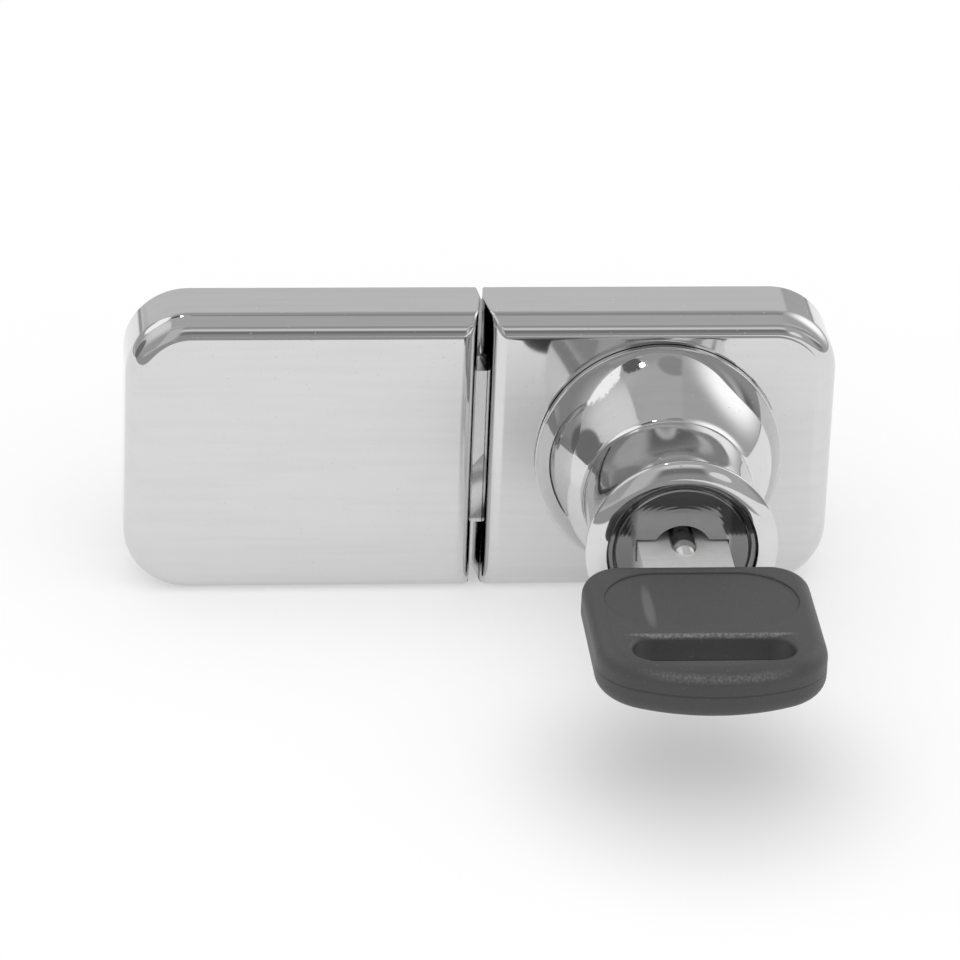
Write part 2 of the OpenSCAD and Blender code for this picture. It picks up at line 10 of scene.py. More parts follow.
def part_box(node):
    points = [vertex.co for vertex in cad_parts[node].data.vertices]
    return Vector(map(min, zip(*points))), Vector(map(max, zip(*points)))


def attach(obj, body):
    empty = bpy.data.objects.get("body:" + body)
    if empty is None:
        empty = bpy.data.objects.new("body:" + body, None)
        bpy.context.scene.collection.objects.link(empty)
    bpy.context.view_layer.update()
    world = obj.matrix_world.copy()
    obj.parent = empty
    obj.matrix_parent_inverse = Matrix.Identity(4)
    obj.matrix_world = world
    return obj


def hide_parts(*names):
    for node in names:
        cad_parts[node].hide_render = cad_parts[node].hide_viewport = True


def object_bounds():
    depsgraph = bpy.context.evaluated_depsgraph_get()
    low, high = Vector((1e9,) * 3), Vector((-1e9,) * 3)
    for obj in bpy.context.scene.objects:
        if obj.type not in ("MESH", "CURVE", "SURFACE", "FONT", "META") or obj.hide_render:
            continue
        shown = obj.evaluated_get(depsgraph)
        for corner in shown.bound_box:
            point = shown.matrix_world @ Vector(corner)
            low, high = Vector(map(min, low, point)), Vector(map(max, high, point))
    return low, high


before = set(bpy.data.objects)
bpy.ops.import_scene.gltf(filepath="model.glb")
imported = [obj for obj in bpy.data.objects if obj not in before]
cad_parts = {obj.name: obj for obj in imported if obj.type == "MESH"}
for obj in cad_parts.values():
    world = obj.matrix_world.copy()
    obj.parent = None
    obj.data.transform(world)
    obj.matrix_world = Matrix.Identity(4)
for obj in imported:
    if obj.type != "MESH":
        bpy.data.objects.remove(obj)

bl_info = {
    "name": "Glass cabinet door lock",
    "version": (1, 0, 0),
    "blender": (4, 5, 0),
    "location": "3D View > Sidebar > Door lock",
    "description": "Models and finishes a clamp-on lock for a pair of glass cabinet doors",
    "category": "Object",
}

MM = 0.001
CAD_BOX = [list(corner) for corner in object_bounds()]

# Places and sizes that several pieces share, in mm
GRUB_X = (-8.9, 2.1)
DOME_SCREW_Z = 9.33
TAPPED_RADIUS = 1.05
BOW_SLOT_Y = -50.4


class Wire:
    """An output socket of a shader node; arithmetic on it adds Math nodes."""

    def __init__(self, shop, node, out):
        self.shop = shop
        self.node = node
        self.socket = node.outputs[out]

    def out(self, name):
        return Wire(self.shop, self.node, name)

    def maths(self, operation, *terms):
        return self.shop.add("Math", {"operation": operation}, dict(enumerate(terms)))

    def __add__(self, other):
        return self.maths("ADD", self, other)

    def __sub__(self, other):
        return self.maths("SUBTRACT", self, other)

    def __rsub__(self, other):
        return self.maths("SUBTRACT", other, self)

    def __mul__(self, other):
        return self.maths("MULTIPLY", self, other)

    def __truediv__(self, other):
        return self.maths("DIVIDE", self, other)

    def __pow__(self, other):
        return self.maths("POWER", self, other)

    __radd__ = __add__
    __rmul__ = __mul__

    def most(self, other):
        return self.maths("MAXIMUM", self, other)

    def size(self):
        return self.maths("ABSOLUTE", self)

    def wave(self):
        return self.maths("SINE", self)

    def smooth(self, low, high, start=0.0, end=1.0):
        """A soft step from start to end while this value goes from low to high."""
        settings = {"interpolation_type": "SMOOTHSTEP"}
        spans = {"Value": self, "From Min": low, "From Max": high, "To Min": start, "To Max": end}
        return self.shop.add("MapRange", settings, spans)


class Shop:
    """A node tree that is being wired; one method adds any node."""

    def __init__(self, tree):
        self.tree = tree
        tree.nodes.clear()

    def add(self, kind, settings=None, inputs=None, out=0):
        node = self.tree.nodes.new("ShaderNode" + kind)
        for name, value in (settings or {}).items():
            if name == "stops":
                ramp = node.color_ramp
                while len(ramp.elements) < len(value):
                    ramp.elements.new(1.0)
                for stop, (place, colour) in zip(ramp.elements, value):
                    stop.position = place
                    stop.color = colour
            else:
                setattr(node, name, value)
        for name, value in (inputs or {}).items():
            if isinstance(value, Wire):
                self.tree.links.new(value.socket, node.inputs[name])
            else:
                node.inputs[name].default_value = value
        return Wire(self, node, out)

    def place(self):
        """Object coordinates, in metres in the lock's own frame."""
        return self.add("TexCoord", out="Object")

    def parts(self, vector):
        split = self.add("SeparateXYZ", None, {0: vector})
        return split.out("X"), split.out("Y"), split.out("Z")

    def stretched(self, vector, scale):
        return self.add("Mapping", None, {"Vector": vector, "Scale": scale})

    def noise(self, vector, scale, detail=2.0, rough=0.5):
        inputs = {"Vector": vector, "Scale": scale, "Detail": detail, "Roughness": rough}
        return self.add("TexNoise", None, inputs)

    def mix(self, factor, first, second):
        """Mixes two colours."""
        node = self.add("Mix", {"data_type": "RGBA"}, {0: factor, 6: first, 7: second})
        return node.out(2)

    def bump(self, height, distance, strength=1.0, under=None):
        inputs = {"Height": height, "Distance": distance, "Strength": strength}
        if under:
            inputs["Normal"] = under
        return self.add("Bump", None, inputs)

    def surface(self, **sockets):
        """Principled shader on the output; socket names are written with underscores."""
        inputs = {name.replace("_", " "): value for name, value in sockets.items()}
        shader = self.add("BsdfPrincipled", None, inputs)
        self.add_output(shader)

    def add_output(self, shader):
        node = self.tree.nodes.new("ShaderNodeOutputMaterial")
        self.tree.links.new(shader.socket, node.inputs["Surface"])


def new_finish(name):
    material = bpy.data.materials.new(name)
    material.use_nodes = True
    return material, Shop(material.node_tree)


def grey(level):
    return (level, level, level, 1.0)


def tint(rgb):
    return (rgb[0], rgb[1], rgb[2], 1.0)


def chrome_plate(name, colour):
    """Bright plating: wiped smudges, faint waves of the casting below and a few pits."""
    material, shop = new_finish(name)
    place = shop.place()
    smudge = shop.noise(place, 160.0, 4.0, 0.6).smooth(0.35, 0.75)
    wipes = shop.noise(shop.stretched(place, (60.0, 900.0, 900.0)), 6.0, 3.0)
    pits = shop.noise(place, 4200.0, 1.0).smooth(0.74, 0.80)
    waves = shop.noise(place, 420.0, 1.0)
    normal = shop.bump(waves, 0.000004, 0.35)
    normal = shop.bump(pits, 0.00002, 0.5, normal)
    streaks = shop.noise(shop.stretched(place, (25.0, 500.0, 500.0)), 2.0, 4.0, 0.6)
    wiped = smudge * 0.25 + streaks.smooth(0.4, 0.75) * 0.5
    shade = shop.mix(wiped, tint(colour), tint([c * 0.93 for c in colour]))
    rough = 0.03 + smudge * 0.03 + wipes * 0.02
    shop.surface(Base_Color=shade, Metallic=1.0, Roughness=rough, Normal=normal)
    return material


def brushed_metal(name, colour, along, rough):
    """Metal with a fine brushed grain that runs along one axis."""
    material, shop = new_finish(name)
    place = shop.place()
    scale = [5200.0, 5200.0, 5200.0]
    scale[along] = 180.0
    grain = shop.noise(shop.stretched(place, scale), 1.0, 3.0, 0.65)
    spots = shop.noise(place, 900.0, 3.0, 0.6).smooth(0.45, 0.8)
    normal = shop.bump(grain, 0.00001, 0.5)
    shade = shop.mix(grain * 0.35 + spots * 0.2, tint(colour), tint([c * 0.78 for c in colour]))
    rough = rough + grain * 0.12 + spots * 0.06
    shop.surface(Base_Color=shade, Metallic=1.0, Roughness=rough, Normal=normal)
    return material


def blade_metal(name, colour, shoulder):
    """Key blade: faces brushed across, and a polished rib above the shoulder height."""
    material, shop = new_finish(name)
    place = shop.place()
    height = shop.parts(place)[2]
    rib = height.smooth(shoulder, shoulder + 0.08 * MM)
    grain = shop.noise(shop.stretched(place, (260.0, 5200.0, 5200.0)), 1.0, 3.0, 0.65)
    wear = shop.noise(place, 700.0, 4.0, 0.65).smooth(0.4, 0.8)
    shade = shop.mix(grain * 0.5 + wear * 0.3, tint(colour), tint([c * 0.74 for c in colour]))
    normal = shop.bump(grain, 0.00001, 0.5)
    rough = 0.45 + grain * 0.12 - rib * 0.32
    shop.surface(Base_Color=shade, Metallic=0.4 + rib * 0.55, Roughness=rough, Normal=normal)
    return material


def plug_face_metal(name, colour):
    """Faced-off plug: turned rings round the barrel's axis, with painted shade on the plate beside the
    keyway.
    """
    material, shop = new_finish(name)
    place = shop.place()
    x, _, z = shop.parts(place)
    radius = (x * x + z * z) ** 0.5
    broken = shop.noise(place, 700.0, 2.0)
    rings = (radius * 16000.0 + broken * 5.0).wave()
    normal = shop.bump(rings * broken, 0.000003, 0.5)
    # Painted shade: the face is darkened where |x| passes 4 mm, beside the keyway
    painted_side_shade = x.size().smooth(4.0 * MM, 4.6 * MM)
    shade = shop.mix(broken.smooth(0.3, 0.8) * 0.3, tint(colour), tint([c * 0.85 for c in colour]))
    shade = shop.mix(painted_side_shade * 0.65, shade, tint([c * 0.3 for c in colour]))
    shop.surface(Base_Color=shade, Metallic=0.9, Roughness=0.05 + broken * 0.06, Normal=normal)
    return material


def bow_plastic(name, colour, top):
    """Satin moulded plastic: fine grain, a parting line round its edge, and painted highlights along its
    edges and in a long streak on the panel.
    """
    material, shop = new_finish(name)
    place = shop.place()
    x, y, z = shop.parts(place)
    slot = BOW_SLOT_Y * MM
    grain = shop.noise(place, 5200.0, 2.0, 0.6)
    cloud = shop.noise(place, 240.0, 3.0)
    specks = shop.noise(place, 4200.0, 1.0)
    seam = z.size().smooth(0.14 * MM, 0.05 * MM)
    aside = (x.size() / (7.8 * MM)) ** 2.0
    # Painted glints along the rear edge of the ring slot
    lip = y.smooth(slot + 2.7 * MM, slot + 2.5 * MM) * y.smooth(slot + 2.1 * MM, slot + 2.3 * MM)
    lip = lip * z.smooth(top - 0.5 * MM, top - 0.2 * MM) * aside.smooth(1.0, 0.6)
    # Painted highlight where the front edge starts to round off
    nose = z.smooth(top - 1.3 * MM, top - 0.8 * MM) * z.smooth(top - 0.3 * MM, top - 0.7 * MM)
    nose = nose * y.smooth(slot - 1.2 * MM, slot - 2.2 * MM) * aside.smooth(0.9, 0.2)
    # A long painted highlight streak on the panel
    length = (y + 42.5 * MM) / (5.0 * MM)
    width = (x + 4.87 * MM) / (0.6 * MM)
    highlight_streak = (length * length + width * width).smooth(1.0, 0.1) * z.smooth(top - 0.4 * MM, top - 0.2 * MM)
    # Painted highlight: the edge glints and the streak lighten the colour and make it a little glossier
    painted_highlight = lip.most(nose * 0.5) * specks.smooth(0.15, 0.8) * 0.8 + highlight_streak * (0.25 + grain * 0.15)
    shade = shop.mix(cloud * 0.5, tint(colour), tint([c * 0.8 for c in colour]))
    shade = shop.mix(specks.smooth(0.62, 0.78) * 0.3, shade, tint([c * 2.2 for c in colour]))
    # Painted highlight mixed into the colour as pale grey
    shade = shop.mix(painted_highlight * 0.45, shade, grey(0.5))
    shade = shop.mix(seam * 0.55, shade, tint([c * 0.3 for c in colour]))
    normal = shop.bump(grain - seam * 2.0, 0.00004, 0.45)
    shop.surface(Base_Color=shade, Roughness=0.40 + grain * 0.16 - painted_highlight * 0.1, Normal=normal)
    return material


def rubber(name, colour):
    """Black rubber with a dusty, slightly uneven skin."""
    material, shop = new_finish(name)
    place = shop.place()
    skin = shop.noise(place, 3000.0, 4.0, 0.7)
    dust = shop.noise(place, 300.0, 4.0, 0.6).smooth(0.5, 0.8)
    shade = shop.mix(dust * 0.3, tint(colour), tint([c * 2.0 + 0.02 for c in colour]))
    shop.surface(Base_Color=shade, Roughness=0.7 + skin * 0.2, Normal=shop.bump(skin, 0.00004, 0.5))
    return material


def seen_directly(shop):
    """One for rays from the camera, from mirrors and through glass, else zero; and for the camera alone."""
    path = shop.add("LightPath")
    camera = path.out("Is Camera Ray")
    return camera.most(path.out("Is Glossy Ray")).most(path.out("Is Transmission Ray")), camera


def floor_paper(name, white, beyond):
    """White paper that keeps the lock's shadow; past its front edge it is darker for mirrored rays only, a
    painted reflection of a darker table.
    """
    material, shop = new_finish(name)
    place = shop.place()
    x, y, _ = shop.parts(place)
    fibre = shop.noise(place, 60.0, 3.0)
    seen, camera = seen_directly(shop)
    # Painted reflection: a darker table past the front edge, seen in the metal but not by the camera
    ahead = y.smooth(-0.094, -0.098) * x.smooth(0.075, 0.05) * (1.0 - camera)
    behind = y.smooth(0.25, 0.6)
    paper = shop.mix(ahead.most(behind), grey(white), grey(beyond))
    paper = shop.mix(fibre * 0.03, paper, grey(0.5))
    lit = shop.add("BsdfDiffuse", None, {"Color": paper})
    # Painted shadow: the paper's glow is dimmer below the bow of the key
    ahead_of_bow = y + 0.046
    apart = ((x * x) / 0.0003 + ahead_of_bow * ahead_of_bow / 0.0004) ** 0.5
    shine = seen * (1.0 - ahead) * (1.0 - behind) * apart.smooth(0.3, 1.3, 0.42, 0.6)
    glow = shop.add("Emission", None, {"Color": shop.mix(shine, grey(0.0), paper), "Strength": 1.0})
    shop.add_output(shop.add("AddShader", None, {0: lit, 1: glow}))
    return material


def box_mm(node):
    """Lowest and highest corner of a CAD node, in mm."""
    low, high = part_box(node)
    return Vector(low) / MM, Vector(high) / MM


def clear_bench():
    """Leaves edit mode and drops the selection."""
    if bpy.context.mode != "OBJECT":
        bpy.ops.object.mode_set(mode="OBJECT")
    bpy.ops.object.select_all(action="DESELECT")


def take(piece):
    """Makes one piece the only selected and the active one."""
    clear_bench()
    piece.select_set(True)
    bpy.context.view_layer.objects.active = piece


def edit(piece):
    take(piece)
    bpy.ops.object.mode_set(mode="EDIT")


def placed(name, scale=(1, 1, 1)):
    """Names the primitive just added and moves its place and size into its mesh."""
    piece = bpy.context.object
    piece.name = name
    piece.scale = scale
    bpy.ops.object.transform_apply(location=True, rotation=True, scale=True)
    return piece


def block(name, low, high):
    """A box from corner to corner, in mm."""
    clear_bench()
    bpy.ops.mesh.primitive_cube_add(size=1.0, location=[(a + b) / 2 for a, b in zip(low, high)])
    return placed(name, [b - a for a, b in zip(low, high)])


def drum(name, x, z, rear, front, radius, front_radius=None, sides=96):
    """A round bar or cone along the barrel's axis; rear and front are its two y places, in mm."""
    clear_bench()
    bpy.ops.mesh.primitive_cone_add(
        vertices=sides, radius1=radius, radius2=radius if front_radius is None else front_radius,
        depth=rear - front, location=(x, (rear + front) / 2, z), rotation=(math.pi / 2, 0, 0))
    return placed(name)


def points(part):
    return [part] if isinstance(part, bmesh.types.BMVert) else list(part.verts)


def level(part, axis, value, slack=0.002):
    """True where all of a part lies at one place on an axis."""
    return all(abs(point.co[axis] - value) < slack for point in points(part))


def along(edge, axis):
    """True for an edge that runs along an axis."""
    way = edge.verts[1].co - edge.verts[0].co
    return abs(way[axis]) > 0.99 * way.length


def pick(kind, test):
    """Selects, in edit mode, the points, edges or faces that pass a test."""
    bpy.ops.mesh.select_mode(type=kind)
    bpy.ops.mesh.select_all(action="DESELECT")
    data = bpy.context.object.data
    mesh = bmesh.from_edit_mesh(data)
    found = 0
    for part in {"VERT": mesh.verts, "EDGE": mesh.edges, "FACE": mesh.faces}[kind]:
        if test(part):
            part.select_set(True)
            found += 1
    if not found:
        raise RuntimeError("nothing to shape on " + bpy.context.object.name)
    mesh.select_flush_mode()
    bmesh.update_edit_mesh(data)


def round_picked(radius, steps):
    bpy.ops.mesh.bevel(offset=radius, segments=steps, profile=0.5, affect="EDGES", clamp_overlap=False)


def move_picked(x=0.0, y=0.0, z=0.0):
    bpy.ops.transform.translate(value=(x, y, z))


def cut(piece, tool, how="DIFFERENCE"):
    """Cuts a piece with a tool, or joins or trims it, and takes the tool away."""
    take(piece)
    change = piece.modifiers.new("cut", "BOOLEAN")
    change.operation = how
    change.solver = "EXACT"
    change.object = tool
    bpy.ops.object.modifier_apply(modifier="cut")
    bpy.data.meshes.remove(tool.data)


def soften(piece, width, steps=2, sharper=35):
    """Breaks every edge that is sharper than the given angle, in degrees."""
    take(piece)
    change = piece.modifiers.new("soft", "BEVEL")
    change.width = width
    change.segments = steps
    change.limit_method = "ANGLE"
    change.angle_limit = math.radians(sharper)
    bpy.ops.object.modifier_apply(modifier="soft")


def copy_of(piece, name):
    """A copy with its own mesh."""
    take(piece)
    bpy.ops.object.duplicate(linked=False)
    twin = bpy.context.object
    twin.name = name
    return twin


def turn_over(piece, x):
    """Mirrors a piece across the upright plane between the two halves."""
    edit(piece)
    bpy.ops.mesh.select_all(action="SELECT")
    bpy.ops.transform.resize(value=(-1, 1, 1), center_override=(x, 0, 0))
    bpy.ops.mesh.normals_make_consistent(inside=False)


def settle(piece, material, body, node, sharper=32):
    """Brings a piece from mm to metres, shades it, gives it its finish and sets it in the frame."""
    take(piece)
    piece.scale = (MM, MM, MM)
    bpy.ops.object.transform_apply(location=True, rotation=True, scale=True)
    bpy.ops.object.shade_smooth_by_angle(angle=math.radians(sharper))
    change = piece.modifiers.new("even", "WEIGHTED_NORMAL")
    change.keep_sharp = True
    bpy.ops.object.modifier_apply(modifier="even")
    piece.data.materials.clear()
    piece.data.materials.append(material)
    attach(piece, body)
    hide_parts(node)


class Stroke:
    """A chain of points drawn in the plane beside the barrel's axis, and spun round that axis."""

    def __init__(self, name, radius, forward):
        clear_bench()
        bpy.ops.mesh.primitive_plane_add(size=1.0, location=(radius, -forward, 0))
        self.piece = placed(name)
        self.at = Vector((radius, -forward, 0))
        edit(self.piece)
        bpy.ops.mesh.select_mode(type="VERT")
        bpy.ops.mesh.select_all(action="SELECT")
        bpy.ops.mesh.merge(type="CENTER")

    def line(self, radius, forward):
        end = Vector((radius, -forward, 0))
        bpy.ops.mesh.extrude_region_move(TRANSFORM_OT_translate={"value": end - self.at})
        self.at = end

    def arc(self, radius, forward, angle, steps):
        """Swings on round a centre; a positive angle, in degrees, turns from outside to the front."""
        centre = Vector((radius, -forward, 0))
        bpy.ops.mesh.spin(steps=steps, angle=math.radians(angle), center=centre, axis=(0, 0, 1))
        self.at = centre + Matrix.Rotation(-math.radians(angle), 3, "Z") @ (self.at - centre)

    def close(self):
        """Joins the chain's last point to its first one."""
        bpy.ops.mesh.select_all(action="SELECT")
        bpy.ops.mesh.remove_doubles(threshold=0.0005)
        bpy.ops.mesh.select_all(action="SELECT")

    def raise_plate(self, low, high):
        """Fills the closed chain and gives it its thickness, between two z places."""
        self.close()
        bpy.ops.mesh.edge_face_add()
        move_picked(z=low)
        bpy.ops.mesh.extrude_region_move(TRANSFORM_OT_translate={"value": (0, 0, high - low)})
        bpy.ops.mesh.select_all(action="SELECT")
        bpy.ops.mesh.normals_make_consistent(inside=False)
        return self.piece

    def spin(self, steps):
        self.close()
        bpy.ops.mesh.spin(steps=steps, angle=2 * math.pi, center=(0, 0, 0), axis=(0, 1, 0))
        bpy.ops.mesh.select_all(action="SELECT")
        bpy.ops.mesh.remove_doubles(threshold=0.0005)
        bpy.ops.mesh.select_all(action="SELECT")
        bpy.ops.mesh.normals_make_consistent(inside=False)
        clear_bench()
        return self.piece


def mm(length):
    """A length property, in mm."""
    return length / MM


def size(name, description, default):
    """A length that is shown in the sidebar; the default is in mm."""
    return FloatProperty(name=name, description=description, unit="LENGTH", subtype="DISTANCE",
                         default=default * MM, min=0.0, precision=5)


def colour(name, description, default):
    """A colour that is shown in the sidebar."""
    return FloatVectorProperty(name=name, description=description, subtype="COLOR",
                               default=default, min=0.0, max=1.0)


class LockSizes(bpy.types.PropertyGroup):
    """Sizes of the pieces that are modelled here; the rest comes from the frame."""

    corner: size("Case corner", "Radius of the cases' outer corners", 6.0)
    edge: size("Case edge", "Radius of the cases' front edges", 2.1)
    gap_edge: size("Gap edge", "How far the front edge beside the gap is rolled over", 1.52)
    gap_draft: size("Gap draft", "How far the gap faces open towards the front", 0.75)
    gap_relief: size("Gap relief", "How far the gap faces open towards the rear", 0.2)
    gap_line: size("Gap line", "Height above the rear rim where the halves nearly meet", 2.1)
    wall: size("Wall", "Thickness of the cases' walls", 2.0)
    dome_foot: size("Dome foot", "Height of the upright edge below the ball", 1.2)
    dome_step: size("Dome step", "How far the ball stands in from its foot", 0.2)
    dome_reach: size("Dome reach", "How far the ball would reach without its neck", 13.8)
    dome_lean: FloatProperty(
        name="Dome lean", description="How far the ball's edge leans in from its foot", subtype="ANGLE",
        default=math.radians(12.0), min=0.0, max=math.radians(40.0))
    neck: size("Neck", "Radius of the barrel's neck", 7.75)
    hollow: size("Hollow", "Radius of the hollow between ball and neck", 1.8)
    rim: size("Rim", "Radius of the flared rim", 8.75)
    rim_round: size("Rim rounding", "Radius of the rim's rounded edge", 0.3)
    bow_edge: size("Bow edge", "Rounding of the bow's edges", 1.6)


class LockLooks(bpy.types.PropertyGroup):
    """Colours of the lock's finishes."""

    chrome: colour("Chrome", "Reflected colour of the chrome plate", (0.68, 0.68, 0.68))
    nickel: colour("Nickel", "Colour of the bolt", (0.66, 0.66, 0.655))
    wafer: colour("Wafers", "Colour of the wafers behind the keyway", (0.16, 0.16, 0.155))
    blade: colour("Blade", "Colour of the key blade", (0.82, 0.82, 0.815))
    plug: colour("Plug", "Colour of the plug's face and the ring round it", (0.40, 0.40, 0.40))
    brass: colour("Brass", "Colour of the drive cam", (0.68, 0.55, 0.31))
    zinc: colour("Zinc plate", "Colour of the brackets, screws and springs", (0.55, 0.55, 0.56))
    bow: colour("Bow", "Colour of the key's plastic bow", (0.068, 0.068, 0.069))
    pad: colour("Pads", "Colour of the rubber pads", (0.03, 0.03, 0.031))


class LockStudio(bpy.types.PropertyGroup):
    """Camera and light of the studio."""

    lens: FloatProperty(
        name="Lens", description="Focal length on a 36 mm wide frame", subtype="DISTANCE_CAMERA",
        default=230.19, min=20.0, max=600.0)
    stand: FloatVectorProperty(
        name="Camera stand", description="Place of the camera", subtype="XYZ", unit="LENGTH",
        default=(-0.070435, -0.516656, 0.249496))
    yaw: FloatProperty(
        name="Yaw", description="Turn of the camera about the upright", subtype="ANGLE",
        default=math.radians(-6.05))
    pitch: FloatProperty(
        name="Pitch", description="Angle at which the camera looks down", subtype="ANGLE",
        default=math.radians(26.21))
    roll: FloatProperty(
        name="Roll", description="Lean of the camera", subtype="ANGLE",
        default=math.radians(2.33))
    fill: FloatProperty(
        name="Fill light", description="Strength of the even light all round", default=0.95, min=0.0, max=3.0)


def finish(context, name):
    """A finish by name, made when the first piece asks for it."""
    title = name + "_finish"
    found = bpy.data.materials.get(title)
    if found:
        return found
    looks = context.scene.lock_looks
    recipes = {
        "chrome": lambda: chrome_plate(title, looks.chrome),
        "brass": lambda: brushed_metal(title, looks.brass, 0, 0.25),
        "screw": lambda: brushed_metal(title, looks.zinc, 1, 0.32),
        "bracket": lambda: brushed_metal(title, looks.zinc, 2, 0.3),
        "blade": lambda: blade_metal(title, looks.blade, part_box("key_blade")[0][2] * -1.03),
        "wafer": lambda: brushed_metal(title, looks.wafer, 2, 0.3),
        "bolt": lambda: brushed_metal(title, looks.nickel, 2, 0.22),
        "plug": lambda: plug_face_metal(title, looks.plug),
        "bow": lambda: bow_plastic(title, looks.bow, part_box("key_bow")[1][2]),
        "pad": lambda: rubber(title, looks.pad),
    }
    return recipes[name]()


class LOCK_OT_cases(bpy.types.Operator):
    """Models the two chrome cases: rounded edges, drafted gap faces, cavities and bolt mouths"""

    bl_idname = "lock.cases"
    bl_label = "Model the cases"

    def execute(self, context):
        sizes = context.scene.lock_sizes
        low, high = box_mm("lock_case")
        lock = self.outer_form(sizes, low, high)
        self.hollow(sizes, lock, low, high)
        self.round_gap(sizes, lock, low, high)
        strike = copy_of(lock, "strike_case_shell")
        turn_over(strike, (low.x + box_mm("strike_case")[1].x) / 2)
        self.seat(lock, low)
        chrome = finish(context, "chrome")
        settle(lock, chrome, "base", "lock_case")
        settle(strike, chrome, "base", "strike_case")
        return {"FINISHED"}

    def outer_form(self, sizes, low, high):
        draft, relief = mm(sizes.gap_draft), mm(sizes.gap_relief)
        bend = high.y - mm(sizes.gap_line)
        piece = block("lock_case_shell", low, high)
        edit(piece)
        pick("EDGE", lambda e: along(e, 1) and level(e, 0, high.x))
        round_picked(mm(sizes.corner), 24)
        bpy.ops.mesh.select_all(action="SELECT")
        bpy.ops.mesh.bisect(plane_co=(0, bend, 0), plane_no=(0, 1, 0))
        pick("VERT", lambda v: level(v, 0, low.x) and level(v, 1, low.y))
        move_picked(x=draft)
        pick("VERT", lambda v: level(v, 0, low.x) and level(v, 1, high.y))
        move_picked(x=relief)
        pick("EDGE", lambda e: level(e, 1, low.y) and not level(e, 0, low.x + draft))
        round_picked(mm(sizes.edge), 16)
        return piece

    def hollow(self, sizes, piece, low, high):
        wall = mm(sizes.wall)
        floor = low.y + wall
        plate = box_mm("lock_bracket")[0].y
        nose = box_mm("bolt")
        guide = nose[1].z + 0.15
        jaw = 7.6
        rail_end, post_x, post_z = low.x + 13.2, 28.2, 9.2
        edit(piece)
        pick("FACE", lambda f: level(f, 1, high.y) and f.calc_area() > 400)
        bpy.ops.mesh.inset(thickness=wall)
        bpy.ops.mesh.extrude_region_move(TRANSFORM_OT_translate={"value": (0, floor - high.y, 0)})
        inside = low.x + wall + 0.4
        step = 0.005
        cut(piece, block("mouth", (low.x - 1, floor + step, step - guide),
                         (inside, plate + 0.02, guide - step)))
        cut(piece, block("web_room", (low.x - 1, plate, -jaw), (inside, high.y + 1, jaw)))
        for side in (-1, 1):
            ends = sorted((side * guide, side * (high.z - wall + 0.02)))
            rail = block("rail", (low.x + wall - 0.02, floor - 0.02, ends[0]), (rail_end, plate, ends[1]))
            cut(piece, rail, "UNION")
            cut(piece, drum("post", low.x + post_x, side * post_z, plate, floor - 0.02, 2.0), "UNION")
            for x, z in ((4.6, 10.0), (post_x, post_z)):
                tap = drum("tapped", low.x + x, side * z, high.y + 1, high.y - 4.2, TAPPED_RADIUS, sides=32)
                cut(piece, tap)

    def round_gap(self, sizes, piece, low, high):
        """Rolls the gap edge over; it narrows as it climbs round the ends of the front edges."""
        edge = mm(sizes.edge)
        start = high.z - edge
        edit(piece)
        mesh = bmesh.from_edit_mesh(piece.data)
        weights = mesh.edges.layers.float.new("bevel_weight_edge")
        for part in mesh.edges:
            ends = part.verts[0].co, part.verts[1].co
            if sum(face.normal.x < -0.9 for face in part.link_faces) == 1:
                climb = (sum(abs(end.z) for end in ends) / 2 - start) / edge
                if level(part, 1, low.y):
                    part[weights] = 1.0
                elif 0.0 < climb < 0.999:
                    part[weights] = max(0.1, 1.0 - math.asin(climb) * 2 / math.pi)
                else:
                    part[weights] = 0.1
        bmesh.update_edit_mesh(piece.data)
        take(piece)
        change = piece.modifiers.new("gap_edge", "BEVEL")
        change.width = mm(sizes.gap_edge)
        change.segments = 12
        change.limit_method = "WEIGHT"
        change.use_clamp_overlap = False
        bpy.ops.object.modifier_apply(modifier="gap_edge")

    def seat(self, piece, low):
        dome = box_mm("escutcheon")
        cam = box_mm("drive_cam")
        seat_gap, cam_hole, stop_radius = 0.06, 6.6, 7.9
        cut(piece, drum("seat", 0, 0, dome[1].y, low.y - 1, dome[1].x + seat_gap, sides=192))
        cut(piece, drum("cam_hole", 0, 0, cam[1].y, low.y - 1, cam_hole))
        floor = low.y + 2.0
        for side in (-1, 1):
            hole = drum("screw_hole", 0, side * DOME_SCREW_Z, floor + 1, low.y - 1, TAPPED_RADIUS, sides=32)
            cut(piece, hole)
        room = drum("stop_room", 0, 0, floor + 0.5, floor - 0.8, stop_radius)
        edit(room)
        swing = math.radians(58.2)
        for side in (-1, 1):
            bpy.ops.mesh.select_all(action="SELECT")
            bpy.ops.mesh.bisect(
                plane_co=(0, 0, 0), plane_no=(-math.sin(swing), 0, side * math.cos(swing)),
                use_fill=True, clear_outer=True)
        cut(piece, room)


